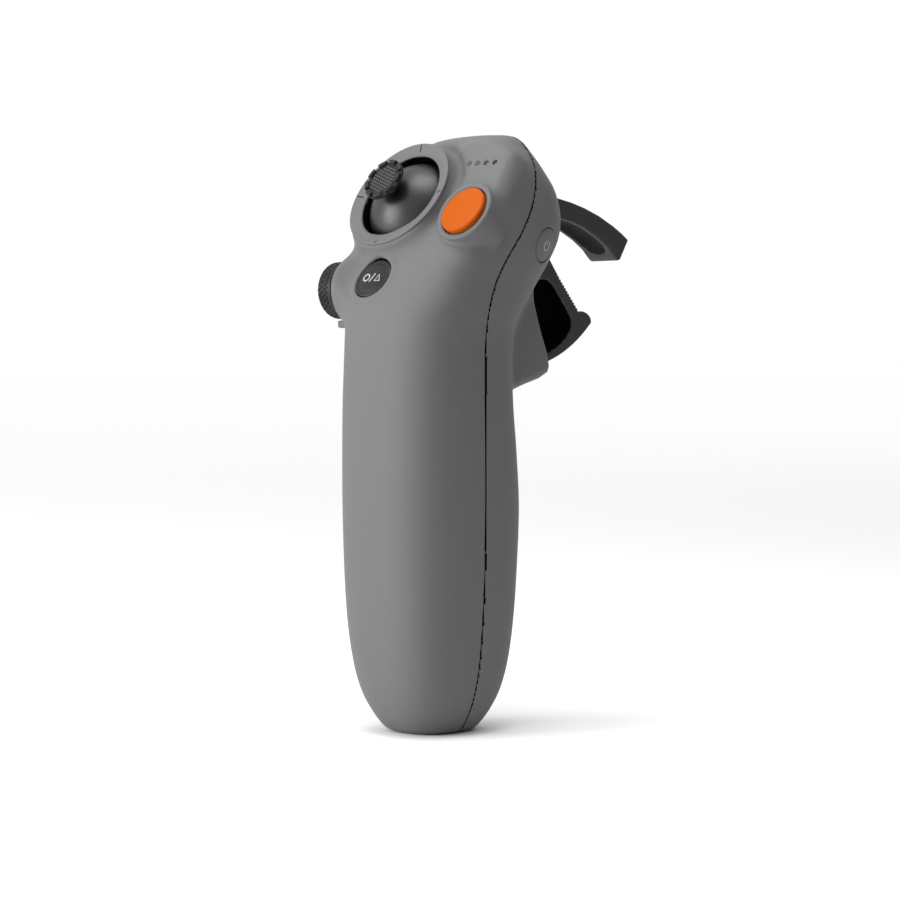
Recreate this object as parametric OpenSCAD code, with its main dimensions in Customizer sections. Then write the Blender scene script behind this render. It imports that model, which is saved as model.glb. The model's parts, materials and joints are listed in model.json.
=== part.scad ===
// Handheld one-hand radio transmitter controller: pistol-style grip with a
// control head, thumb stick, lock button, mode button, side dial and a
// two-way index-finger rocker. Millimetres, +Z up, +X to the user's right,
// +Y away from the user. Origin at the centre of the flat base.

/* [Housing] */
// Wall thickness of both shells
wall = 2.4; // [1.8:0.1:2.6]
// Gap between the two shells along the parting line
seam_gap = 0.3; // [0.2:0.05:0.4]

/* [Thumb stick] */
// Outer radius of the raised collar and its bezel ring
ring_r = 15.6; // [15.3:0.1:15.9]
// Radius of the opening that the dome shows through
opening_r = 12.2; // [12:0.05:12.4]
// Radius of the domed dust cover
dome_r = 14.1; // [13.4:0.1:14.1]
// Radius of the stick cap
cap_r = 5.7; // [5:0.1:6]

/* [Buttons] */
// Radius of the lock button
lock_r = 6.5; // [5.5:0.1:6.7]
// Radius of the mode button
mode_r = 5.6; // [5:0.1:5.8]
// Radius of the power button
power_r = 4.3; // [4:0.1:4.6]

/* [Dial] */
// Radius of the side dial
dial_r = 7.3; // [6.8:0.1:7.5]
// Width of the side dial
dial_w = 5.2; // [4.6:0.1:5.4]

/* [Rocker] */
// Width of the finger trigger
trig_w = 12; // [10:0.5:12.4]
// Width of the upper horn
horn_w = 10; // [8:0.5:12]
// Radius of the pivot pin
pin_r = 1.5; // [1.2:0.1:1.8]

/* [Hidden] */
$fn = 64;
shell_c = [0.42, 0.42, 0.43];
black_c = [0.12, 0.12, 0.12];
pcb_c = [0.05, 0.3, 0.15];
metal_c = [0.7, 0.7, 0.72];

// ---------- frames ----------
P_ring = [-8, -3.4, 135];       // centre of the bezel's top plane
tilt = 57;                      // turns local Z to the control face's normal
stick_dn = -11;                 // gimbal centre below the bezel plane
lock_at = [24.4, -5.2, -0.8];     // top of the lock button, in the face frame
mode_at = [1.2, -23.5, -2.9];
piv = [25, 131.5];              // rocker pivot in Y, Z
power_p = [21.8, 18.3, 122];
power_az = 18; power_el = -9;
dial_c = [-7, 111];             // dial axis in Y, Z
dial_x = -27;                   // outer face of the dial

function led(i) = [16.95 + 2.98 * i, 10.4 - 0.06 * i];   // light positions in the face frame
module face(p = [0, 0, 0]) translate(P_ring) rotate([tilt, 0, 0]) translate(p) children();
module side_button(d = 0) translate(power_p) rotate([0, 0, power_az]) rotate([0, 90 - power_el, 0]) translate([0, 0, d]) children();
module across(yz, x0 = 0) translate([x0, yz[0], yz[1]]) rotate([0, 90, 0]) children();
module profile_x(w, x0 = 0) translate([x0 - w / 2, 0, 0]) rotate([90, 0, 90]) linear_extrude(w) children();

// ---------- housing surface ----------
// z, front y, back y, half width, front power, back power, parting line y
rows = [
    [0, -10.4, 10.4, 9.6, 2.4, 2.4, 0.4], [1.6, -12, 12, 11.1, 2.5, 2.5, 0.4],
    [5, -14.3, 14.3, 13.2, 2.6, 2.6, 0.4], [10, -16.5, 16.4, 15.2, 2.8, 2.8, 0.4],
    [17, -18.2, 18, 16.8, 2.9, 2.9, 0.4], [27, -19.4, 19.1, 17.9, 3, 3, 0.4],
    [40, -20.1, 19.9, 18.7, 3, 3, 0.4], [56, -20.6, 20.6, 19, 3, 3, 0.4],
    [70, -20.6, 19.6, 19, 3, 3, 0.4], [82, -20.4, 18.6, 18.9, 3, 2.9, 0.4],
    [92, -20, 18.6, 18.8, 3, 2.8, 0.4], [100, -19.1, 19.4, 19.2, 3.1, 2.7, 0.4],
    [106, -17.8, 22, 20.3, 3.2, 2.6, 0.5], [112, -14.6, 26.2, 21.2, 3.4, 2.5, 1.7],
    [118, -10.9, 30.3, 22.6, 4, 2.4, 4.2], [124, -7, 33.4, 23.6, 4.4, 2.3, 8],
    [130, -3.1, 34, 23.8, 4.6, 2.15, 11.4], [136, 0.9, 31.4, 23.2, 4.6, 2.05, 13.6],
    [141, 4.2, 27.1, 21.3, 4.4, 2, 15], [145, 7.2, 23.8, 18.6, 3.8, 2, 16.1],
    [148.5, 10.2, 22, 14.4, 3, 2.2, 17.2], [150, 13.6, 21, 9.6, 2.4, 2.1, 17.8],
    [150.6, 18, 18, 0, 2, 2, 18]];
nose = [[80, 6], [83, 13], [85, 19], [87, 25.4], [88.5, 30.2], [90, 33], [92, 33.8], [95, 33],
    [100, 31.1], [104, 29.6], [108, 28.3], [112, 27.6], [116, 25], [122, 12]];
function cr(a, b, c, d, t) = 0.5 * (2 * b + (c - a) * t + (2 * a - 5 * b + 4 * c - d) * t * t + (3 * b - a - 3 * c + d) * t * t * t);
function row(u) = let (k = min(floor(u), len(rows) - 2), t = u - k, n = len(rows) - 1)
    cr(rows[max(k - 1, 0)], rows[k], rows[k + 1], rows[min(k + 2, n)], t);
function smax(a, b, k) = let (h = max(k - abs(a - b), 0) / k) max(a, b) + h * h * k / 4;
function inz(z, w) = w == 0 ? z : z < 20 ? z + 2.2 * (1 - z / 20) : z > 130 ? z - w * (z - 130) / 20 : z;
function rad(q, th, w) = let (
        a = max(q[3] - w, 0.4 * q[3]), b0 = (q[2] - q[1]) / 2, b = max(b0 - w, 0.25 * b0),
        c = abs(cos(th)), s = sin(th), n = s < 0 ? q[4] : q[5], yc = (q[1] + q[2]) / 2,
        body = a < 0.01 ? 0 : 1 / pow(pow(c / a, n) + pow(abs(s) / b, n), 1 / n),
        yn = lookup(q[0], nose) - w - yc)
    (s > 0.2 && q[0] > 80.5 && q[0] < 121 && yn > 1) ?
        smax(body, 1 / pow(pow(c / (10.6 - w), 5) + pow(s / yn, 5), 0.2), 5) : body;
function pt(q, th, w) = let (r = rad(q, th, w)) [r * cos(th), r * sin(th) + (q[1] + q[2]) / 2, inz(q[0], w)];
function seam_th(q, y, w, lo = -75, hi = 75, n = 22) = n == 0 ? (lo + hi) / 2 :
    let (m = (lo + hi) / 2) pt(q, m, w)[1] < y ? seam_th(q, y, w, m, hi, n - 1) : seam_th(q, y, w, lo, m, n - 1);
us = concat([for (i = [0:15]) i / 2], [for (i = [0:19]) 8 + i / 5], [for (i = [0:19]) 12 + i / 2]);
na = 28;
// side = -1 front half, +1 rear half
function arc_row(u, side, w) = let (q = row(u), y = q[6] + side * seam_gap / 2, tr = seam_th(q, y, w))
    [for (i = [0:na]) pt(q, side < 0 ? tr - (180 + 2 * tr) * i / na : tr + (180 - 2 * tr) * i / na, w)];
module half_shell(side) {
    m = len(us); k = na + 1; y0 = 18 + side * seam_gap / 2;
    pts = concat([for (u = us) each arc_row(u, side, 0)], [for (u = us) each arc_row(u, side, wall)],
        [[0, y0, 150.6], [0, y0, 150.6 - wall]]);
    function o(j, i) = j * k + i;
    function p(j, i) = (m + j) * k + i;
    ot = 2 * m * k; pt_ = ot + 1;
    f = concat(
        [for (j = [0:m - 2], i = [0:na - 1]) each [[o(j, i), o(j + 1, i), o(j + 1, i + 1)], [o(j, i), o(j + 1, i + 1), o(j, i + 1)]]],
        [for (j = [0:m - 2], i = [0:na - 1]) each [[p(j, i), p(j + 1, i + 1), p(j + 1, i)], [p(j, i), p(j, i + 1), p(j + 1, i + 1)]]],
        [for (i = [0:na - 1]) [o(m - 1, i), ot, o(m - 1, i + 1)]],
        [for (i = [0:na - 1]) [p(m - 1, i), p(m - 1, i + 1), pt_]],
        [[for (i = [0:na]) o(0, i)]], [[for (i = [na:-1:0]) p(0, i)]],
        [for (j = [0:m - 2]) each [[o(j, 0), p(j, 0), p(j + 1, 0)], [o(j, 0), p(j + 1, 0), o(j + 1, 0)]]],
        [for (j = [0:m - 2]) each [[o(j, na), p(j + 1, na), p(j, na)], [o(j, na), o(j + 1, na), p(j + 1, na)]]],
        [[o(m - 1, 0), p(m - 1, 0), pt_], [o(m - 1, 0), pt_, ot]],
        [[o(m - 1, na), pt_, p(m - 1, na)], [o(m - 1, na), ot, pt_]],
        [[o(0, 0), o(0, na), p(0, na)], [o(0, 0), p(0, na), p(0, 0)]]);
    polyhedron(pts, side < 0 ? [for (t = f) [for (i = [len(t) - 1:-1:0]) t[i]]] : f);
}

// ---------- shells ----------
module pod() across(dial_c, -21.6) rotate_extrude() polygon([[0, 0], [7.2, 0], [8.4, 1], [9, 2.6], [9, 5], [8.6, 8], [0, 8]]);
module front_shell() color(shell_c) difference() {
    union() {
        half_shell(-1);
        face([0, 0, -8.5]) cylinder(r = ring_r, h = 7.5);
        face([lock_at[0], lock_at[1], -9]) cylinder(r = lock_r + 1.7, h = 7.1);
        face([mode_at[0], mode_at[1], -9]) cylinder(r = mode_r + 1.2, h = 5.6);
        pod();
        corner() translate([-2.8, -2.7, 0.6]) cube([5.6, 5.4, 6]);
        // lip under the dial
        translate([-24.4, -10, 101.6]) cube([7, 7, 1.9]);
    }
    face([0, 0, -12]) cylinder(r = opening_r, h = 20);
    // seat around the dome
    intersection() { face([0, 0, stick_dn]) sphere(r = dome_r + 0.5); face([0, 0, -15.5]) cylinder(r = 14.7, h = 14.9); }
    face([lock_at[0], lock_at[1], -7.4]) cylinder(r = lock_r + 0.25, h = 16);
    face([lock_at[0], lock_at[1], -12]) cylinder(r = 2.2, h = 6);
    face([mode_at[0], mode_at[1], -12]) cylinder(r = mode_r + 0.2, h = 20);
    for (i = [0:3]) face([led(i)[0], led(i)[1], -14]) cylinder(r = 0.75, h = 20, $fn = 24);
    across(dial_c, -28) cylinder(r = 2.3, h = 20);
    translate([-18.3, dial_c[0] - 4.3, dial_c[1] - 4.3]) cube([8, 8.6, 8.6]);
    across(dial_c, -28) cylinder(r = dial_r + 0.35, h = 28 - dial_w - 21.4 + 5);
    // lanyard slot in the base, crossed by a pin
    corner() translate([-1.9, -1.7, -1]) cube([3.8, 3.4, 6.2]);
    corner() translate([0, 2.4, 1.6]) rotate([90, 0, 0]) cylinder(r = 0.7, h = 4.8, $fn = 32);
}
module corner() rotate([0, 0, 45]) translate([-7.2, 0, 0]) children();
module rear_shell() color(shell_c) difference() {
    union() {
        half_shell(1);
        for (s = [-1, 1]) translate([s * 4.6, 21.3, 140.4]) cylinder(r = 2, h = 3);
    }
    for (s = [-1, 1]) translate([s * 4.6, 21.3, 139]) cylinder(r = 0.8, h = 4, $fn = 24);
    across(dial_c, -24) cylinder(r = 9.4, h = 12);
    // rocker slot: follows the lever's arc below, and stops above the horn's root
    intersection() {
        across(piv, -6.9) cylinder(r = 41.3, h = 13.8);
        translate([-10, 19, 80]) cube([20, 40, 58]);
    }
    side_button(-8) cylinder(r = power_r + 0.2, h = 16);
    // charging port
    for (s = [-1, 1]) translate([s * 2.9, 4.5, -2]) cylinder(r = 1.85, h = 8);
    translate([-2.9, 2.65, -2]) cube([5.8, 3.7, 8]);
}

// ---------- thumb stick ----------
module stick_bezel() color([0.5, 0.5, 0.51]) difference() {
    face([0, 0, 0]) rotate_extrude($fn = 96) polygon([[opening_r - 1, -1], [ring_r, -1], [ring_r, 0.3], [ring_r - 0.2, 0.45], [opening_r - 1, -0.85]]);
    face([0, 0, -2]) cylinder(r = opening_r, h = 4);
    for (a = [0:90:270]) face([0, 0, 0]) rotate([0, 0, a]) translate([12.9, -0.15, -0.35]) cube([2.3, 0.3, 1]);
}
module stick_base() color(black_c) face() difference() {
    union() {
        translate([-10.2, -8, -21.5]) cube([20.4, 14, 2.5]);
        for (s = [-1, 1]) translate([s * 10.7 - 0.8, -4, -21.5]) cube([1.6, 8, 12]);
    }
    translate([-20, 0, stick_dn]) rotate([0, 90, 0]) cylinder(r = 1.25, h = 40);
}
module stick_yoke() color(metal_c) face() difference() {
    union() {
        difference() {
            translate([-9.6, -6.6, stick_dn - 1.8]) cube([19.2, 13.2, 3.6]);
            translate([-7.8, -4.9, stick_dn - 3]) cube([15.6, 9.8, 6]);
        }
        for (s = [-1, 1]) translate([s > 0 ? 8.5 : -11.5, 0, stick_dn]) rotate([0, 90, 0]) cylinder(r = 1.2, h = 3);
    }
    translate([0, 20, stick_dn]) rotate([90, 0, 0]) cylinder(r = 1.05, h = 40);
}
module stick_shaft() color(metal_c) face() union() {
    intersection() { translate([0, 0, stick_dn]) sphere(r = 4.2); translate([-4, -4.2, stick_dn - 3.4]) cube([8, 8.4, 7.6]); }
    translate([0, 6.4, stick_dn]) rotate([90, 0, 0]) cylinder(r = 1, h = 12.8);
    translate([0, 0, stick_dn]) cylinder(r = 1.6, h = 6 - stick_dn);
}
module stick_dome() color([0.06, 0.06, 0.07]) face([0, 0, stick_dn]) rotate_extrude($fn = 96) difference() {
    intersection() {
        circle(r = dome_r, $fn = 96);
        polygon([[1.65, 2], [1.65, 30], [30, 30], [30, 4.8]]);
    }
    circle(r = dome_r - 1.2, $fn = 96);
}
module stick_cap() color([0.16, 0.16, 0.17]) face() difference() {
    union() {
        translate([0, 0, 3.3]) cylinder(r = 2.3, h = 2.1);
        translate([0, 0, 4.9]) cylinder(r1 = 3.2, r2 = 5, h = 0.5);
        translate([0, 0, 5.4]) cylinder(r = cap_r, h = 1.7);
    }
    translate([0, 0, 0]) cylinder(r = 1.62, h = 6.02);
    translate([0, 0, 6.5]) cylinder(r = cap_r - 1.4, h = 2);
    for (a = [0:40:320]) rotate([0, 0, a + 20]) translate([3.9, -0.55, 6.4]) cube([3, 1.1, 2]);
}

// ---------- buttons ----------
module lock_button() color([0.93, 0.42, 0.12]) face(lock_at) union() {
    translate([0, 0, -0.4]) cylinder(r1 = lock_r, r2 = lock_r - 0.35, h = 0.4);
    translate([0, 0, -4.6]) cylinder(r = lock_r, h = 4.2);
    translate([0, 0, -8.4]) cylinder(r = 1.6, h = 3.8);
}
module tact(h) {
    translate([-2.6, -2.6, -h]) cube([5.2, 5.2, h]);
    translate([0, 0, -0.1]) cylinder(r = 1.3, h = 0.8, $fn = 32);
}
board_z = -14.4;                // top of the control board in the face frame
module lock_switch() color(metal_c) face([lock_at[0], lock_at[1], -11.4]) tact(3);
module mode_button() color([0.17, 0.17, 0.18]) face(mode_at) union() {
    translate([0, 0, -0.5]) cylinder(r1 = mode_r, r2 = mode_r - 0.6, h = 0.5);
    translate([0, 0, -4]) cylinder(r = mode_r, h = 3.5);
    translate([0, 0, -6.4]) cylinder(r = 1.5, h = 2.4);
}
module mode_switch() color(metal_c) face([mode_at[0], mode_at[1], -11.4]) tact(3);
module power_button() color(shell_c) side_button() union() {
    translate([0, 0, -3]) cylinder(r = power_r, h = 3.1);
    translate([0, 0, -4.6]) cylinder(r = 1.4, h = 1.6);
}
module power_switch() color(metal_c) side_button(-6.3) { tact(1.4); translate([-4.2, -4.2, -2.4]) cube([8.4, 8.4, 1]); }
module led_light_pipe() color([0.85, 0.85, 0.82]) face() union() {
    for (i = [0:3]) translate([led(i)[0], led(i)[1], -10]) cylinder(r = 0.65, h = 6.7 - 0.2 * i, $fn = 24);
    translate([16, 8.6, -10.6]) cube([10.9, 2.6, 0.9]);
    for (s = [17.2, 25.6]) translate([s, 9.2, board_z]) cube([1.2, 1.2, 4]);
}
module control_board() color(pcb_c) face([0, 0, board_z - 1]) linear_extrude(1)
    polygon([[-5, -28], [9, -28], [26.4, -14], [26.8, 12], [15, 12], [13.2, 4], [13.2, -10.6], [7, -18], [-5, -19.4]]);

// ---------- dial ----------
module dial_wheel() color([0.13, 0.13, 0.13]) difference() {
    across(dial_c, dial_x) rotate_extrude($fn = 96)
        polygon([[2, 0], [dial_r - 1, 0], [dial_r, 0.9], [dial_r, dial_w - 1.2], [dial_r - 0.6, dial_w], [2, dial_w]]);
    for (a = [0:10:350]) translate([0, dial_c[0], dial_c[1]]) rotate([a, 0, 0])
        translate([dial_x + 1.1, dial_r - 0.35, -0.3]) cube([2.7, 1, 0.6]);
}
module dial_axle() color(metal_c) across(dial_c, dial_x + 0.4) union() { cylinder(r = 1.98, h = 8.6); }
module dial_encoder() color(black_c) difference() {
    translate([-18, dial_c[0] - 4, dial_c[1] - 4]) cube([3.6, 8, 8]);
    across(dial_c, -20) cylinder(r = 2.05, h = 3.2 + 1.2);
}

// ---------- rocker ----------
arc_r = 40.6;
function on_arc(a, r = arc_r) = [piv[0] + r * cos(a), piv[1] + r * sin(a)];
lever_out = concat([[34.5, 124.5], [37.4, 119.8], [41.2, 114.9], [48.9, 106.2]], [[50.3, 106.1], [52.4, 105.5], [53.6, 104.5], [53.9, 103.2]],
    [for (a = [-45:-4:-81]) on_arc(a)], [[30.6, 93], [29.4, 112], [27, 125]]);
recess = [[33, 113.2], [35.6, 114.1], [38.2, 113.2], [40.9, 110.2], [45.2, 105.2], [46, 103.4], [45.7, 101.4],
    [44, 99.1], [41, 96.9], [36.1, 94.9], [32.6, 94.4]];
module teeth() for (i = [0:8]) let (t = i / 8, p = [41.6 + 6.6 * t, 114.45 - 7.45 * t]) translate(p) rotate(41.5) square([0.55, 0.5], center = true);
module trigger_lever() color([0.2, 0.2, 0.2]) difference() {
    union() {
        profile_x(trig_w) difference() { union() { polygon(lever_out); teeth(); } polygon(recess); }
        across(piv, -6.2) cylinder(r = 6, h = 12.4);
        profile_x(trig_w) polygon(concat([[25, 131.5]], [for (a = [-62:8:22]) on_arc(a, 10.9)]));
    }
    across(piv, -10) cylinder(r = pin_r + 0.05, h = 20);
    // seat of the return spring, and pocket of the magnet
    across(piv, 3.2) cylinder(r = 4.6, h = 4);
    across([21.2, 128.5], -7) cylinder(r = 1.55, h = 2.6, $fn = 32);
}
module trigger_web() color([0.03, 0.03, 0.03]) profile_x(2) offset(delta = -0.02) polygon(recess);
module reverse_horn() color([0.2, 0.2, 0.2]) profile_x(horn_w)
    polygon([on_arc(17, 10.92), [41.7, 135.6], [47.4, 134.6], [52.4, 133.4], [58, 131.6], [63.8, 129], [67.2, 127.2],
        [70, 125.5], [66.6, 120], [65.6, 119.9], [62, 122.9], [58, 125.3], [52.2, 127.9], [47.4, 129.3], [43, 130], on_arc(-14, 10.92),
        on_arc(-2, 10.92), on_arc(8, 10.92)]);
module trigger_pin() color(metal_c) across(piv, -10.4) cylinder(r = pin_r, h = 20.8);
module trigger_bracket() color(black_c) difference() {
    union() {
        for (s = [-1, 1]) across(piv, s * 8.2 - 1) cylinder(r = 4, h = 2);
        for (s = [-1, 1]) translate([s * 8.2 - 1, 19.4, piv[1]]) cube([2, 3.6, 8.8]);
        translate([-9.2, 19.4, piv[1] + 7.6]) cube([18.4, 3.6, 1.2]);
    }
    across(piv, -12) cylinder(r = pin_r + 0.02, h = 24);
    for (s = [-1, 1]) translate([s * 4.6, 21.3, piv[1] + 5]) cylinder(r = 0.82, h = 9, $fn = 24);
}
function helix(t, n) = [3.4 * cos(360 * n * t), 3.4 * sin(360 * n * t), 0.45 + 2.1 * t];
module trigger_spring() color(metal_c) across(piv, 3.3) {
    m = 48; s = 6; n = 3;
    pts = [for (j = [0:m - 1]) let (c = helix(j / (m - 1), n), a = 360 * n * j / (m - 1))
        for (i = [0:s - 1]) c + 0.3 * [cos(a) * cos(60 * i), sin(a) * cos(60 * i), sin(60 * i)]];
    polyhedron(pts, concat([[for (i = [s - 1:-1:0]) i]], [[for (i = [0:s - 1]) (m - 1) * s + i]],
        [for (j = [0:m - 2], i = [0:s - 1]) let (b = j * s, c = (i + 1) % s) each [[b + i, b + c, b + s + c], [b + i, b + s + c, b + s + i]]]));
}
module trigger_magnet() color(metal_c) across([21.2, 128.5], -6.9) cylinder(r = 1.5, h = 2.4, $fn = 32);
module trigger_sensor_board() color(pcb_c) translate([-11.7, 18.6, 121]) cube([0.9, 6.4, 9]);

// ---------- power, boards and small parts ----------
module battery_cell() color([0.15, 0.35, 0.6]) translate([0, -4, 13]) union() { cylinder(r = 9.2, h = 65); translate([0, 0, 65]) cylinder(r = 3, h = 0.8); }
module battery_cradle() color(black_c) difference() {
    translate([-11, -5, 10.6]) cube([22, 12.4, 71]);
    translate([0, -4, 12.6]) cylinder(r = 9.4, h = 66.6);
    translate([-9.4, -8, 12.6]) cube([18.8, 4.2, 66.6]);
    translate([-8, -4, 20]) cube([16, 20, 52]);
}
module main_board() color(pcb_c) translate([-11.5, 8.2, 12]) cube([23, 1.2, 72]);
module radio_shield() color(metal_c) translate([-7, 9.4, 50]) difference() { cube([14, 2.2, 18]); translate([0.4, -1, 0.4]) cube([13.2, 2.8, 17.2]); }
module antenna_board() color(pcb_c) translate([-9, 12.4, 86]) cube([18, 0.8, 14]);
module usb_c_socket() color(metal_c) difference() {
    union() { for (s = [-1, 1]) translate([s * 2.84, 4.5, 0.3]) cylinder(r = 1.63, h = 7.4, $fn = 32); translate([-2.84, 2.87, 0.3]) cube([5.68, 3.26, 7.4]); }
    union() { for (s = [-1, 1]) translate([s * 2.84, 4.5, -1]) cylinder(r = 1.3, h = 7.6, $fn = 32); translate([-2.84, 3.2, -1]) cube([5.68, 2.6, 7.6]); }
}
module usb_c_tongue() color(black_c) translate([-3.1, 4.15, 1.4]) cube([6.2, 0.7, 5.2]);
module lanyard_pin() color(metal_c) corner() translate([0, 2.3, 1.6]) rotate([90, 0, 0]) cylinder(r = 0.7, h = 4.6, $fn = 32);
module buzzer() color(black_c) translate([6, -2.4, 88]) cylinder(r = 5, h = 3.4);
module battery_connector() color([0.9, 0.9, 0.85]) translate([-5, 9.4, 74]) cube([7, 3.6, 5]);
module screw(r = 0.8, l = 5) { cylinder(r = r, h = l, $fn = 24); translate([0, 0, l]) difference() { cylinder(r = r * 2, h = 1.2, $fn = 24); translate([0, 0, 0.6]) cylinder(r = r * 0.8, h = 2, $fn = 6); } }
module board_screws() color(metal_c) for (z = [15, 81], s = [-1, 1]) translate([s * 9.6, 9.42, z]) rotate([-90, 0, 0]) translate([0, 0, -0.02]) screw(0.8, 0.02);
module bracket_screws() color(metal_c) for (s = [-1, 1]) translate([s * 4.6, 21.3, 142.9]) rotate([180, 0, 0]) screw(0.8, 3.8);

front_shell();
rear_shell();
stick_bezel();
stick_base();
stick_yoke();
stick_shaft();
stick_dome();
stick_cap();
lock_button();
lock_switch();
mode_button();
mode_switch();
power_button();
power_switch();
led_light_pipe();
control_board();
dial_wheel();
dial_axle();
dial_encoder();
trigger_lever();
trigger_web();
reverse_horn();
trigger_pin();
trigger_bracket();
trigger_spring();
trigger_magnet();
trigger_sensor_board();
battery_cell();
battery_cradle();
main_board();
radio_shield();
antenna_board();
usb_c_socket();
usb_c_tongue();
lanyard_pin();
buzzer();
battery_connector();
board_screws();
bracket_screws();
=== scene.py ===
import bpy
import json
import math
import numpy as np
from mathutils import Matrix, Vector


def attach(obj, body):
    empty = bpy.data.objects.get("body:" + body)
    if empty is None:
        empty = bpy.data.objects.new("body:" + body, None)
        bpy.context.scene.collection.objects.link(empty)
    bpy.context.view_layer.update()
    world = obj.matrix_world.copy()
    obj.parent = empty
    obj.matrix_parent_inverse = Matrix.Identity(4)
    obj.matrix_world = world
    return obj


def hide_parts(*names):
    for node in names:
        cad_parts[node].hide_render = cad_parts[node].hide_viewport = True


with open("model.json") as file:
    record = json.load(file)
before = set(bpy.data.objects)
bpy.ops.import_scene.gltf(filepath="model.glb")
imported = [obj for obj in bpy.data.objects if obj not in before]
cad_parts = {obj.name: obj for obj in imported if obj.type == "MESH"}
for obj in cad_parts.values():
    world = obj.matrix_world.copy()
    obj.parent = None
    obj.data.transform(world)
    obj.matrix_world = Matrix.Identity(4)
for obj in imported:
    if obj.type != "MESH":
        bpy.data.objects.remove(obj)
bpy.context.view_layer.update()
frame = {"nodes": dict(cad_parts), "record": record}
NODES = frame["nodes"]

# ------------------------------------------------------------------ camera
AZ, EL, DIST = math.radians(45.0), math.radians(2.0), 0.630
back = Vector((math.sin(AZ) * math.cos(EL), -math.cos(AZ) * math.cos(EL), math.sin(EL)))
target = Vector((0.0034, 0.0034, 0.0705))
cam_data = bpy.data.cameras.new("camera")
cam_data.lens = 100.0
cam_data.sensor_width = 36.0
cam_data.clip_start = 0.01
cam_data.clip_end = 50.0
cam = bpy.data.objects.new("camera", cam_data)
cam.location = target + back * DIST
cam.rotation_euler = (-back).to_track_quat("-Z", "Y").to_euler()
bpy.context.scene.collection.objects.link(cam)
bpy.context.scene.camera = cam

# ------------------------------------------------------------------ small field library (millimetres)
TILT = math.radians(57.0)
CT, ST = math.cos(TILT), math.sin(TILT)
P0 = np.array([-8.0, -3.4, 135.0])


def to_face(p):
    q = p - P0
    return np.stack([q[:, 0], q[:, 1] * CT + q[:, 2] * ST, -q[:, 1] * ST + q[:, 2] * CT], 1)


def from_face(q):
    q = np.atleast_2d(np.asarray(q, float))
    return np.stack([q[:, 0], q[:, 1] * CT - q[:, 2] * ST, q[:, 1] * ST + q[:, 2] * CT], 1) + P0


def smin(a, b, k):
    h = np.maximum(k - np.abs(a - b), 0) / k
    return np.minimum(a, b) - h * h * k / 4


def smax(a, b, k):
    return -smin(-a, -b, k)


def step(x, a, b):
    t = np.clip((x - a) / (b - a), 0, 1)
    return t * t * (3 - 2 * t)


def round_cyl(rho, z, r, z0, z1, e):
    """capped cylinder with edge radius e"""
    a = rho - r + e
    b = np.abs(z - (z0 + z1) / 2) - (z1 - z0) / 2 + e
    return np.hypot(np.maximum(a, 0), np.maximum(b, 0)) + np.minimum(np.maximum(a, b), 0) - e


def round_box(p, c, half, e):
    q = np.abs(p - np.array(c)) - np.array(half) + e
    return np.linalg.norm(np.maximum(q, 0), axis=1) + np.minimum(q.max(1), 0) - e


def poly_sdf(y, z, poly):
    """signed distance to a closed polygon, negative inside"""
    poly = np.asarray(poly, float)
    d = np.full(y.shape, 1e9)
    inside = np.zeros(y.shape, bool)
    n = len(poly)
    for i in range(n):
        a, b = poly[i - 1], poly[i]
        ex, ey = b - a
        wx, wy = y - a[0], z - a[1]
        t = np.clip((wx * ex + wy * ey) / max(ex * ex + ey * ey, 1e-9), 0, 1)
        d = np.minimum(d, (wx - t * ex) ** 2 + (wy - t * ey) ** 2)
        cross = (a[1] > z) != (b[1] > z)
        if abs(ey) > 1e-9:
            inside ^= cross & (y < a[0] + (z - a[1]) * ex / ey)
    d = np.sqrt(d)
    return np.where(inside, -d, d)


def line_dist(y, z, pts):
    d = np.full(y.shape, 1e9)
    for a, b in zip(np.array(pts[:-1], float), np.array(pts[1:], float)):
        ex, ey = b - a
        wx, wy = y - a[0], z - a[1]
        t = np.clip((wx * ex + wy * ey) / (ex * ex + ey * ey), 0, 1)
        d = np.minimum(d, np.hypot(wx - t * ex, wy - t * ey))
    return d


def extrude(d2, w, e):
    """extrusion of a 2-D field along an axis with |coordinate| - half width = w, edge radius e"""
    a, b = d2 + e, w + e
    return np.hypot(np.maximum(a, 0), np.maximum(b, 0)) + np.minimum(np.maximum(a, b), 0) - e


def smooth_poly(pts, rounds=2):
    """corner cutting of a closed polygon"""
    p = np.asarray(pts, float)
    for _ in range(rounds):
        q = np.roll(p, -1, 0)
        p = np.stack([0.75 * p + 0.25 * q, 0.25 * p + 0.75 * q], 1).reshape(-1, 2)
    return p


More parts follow.
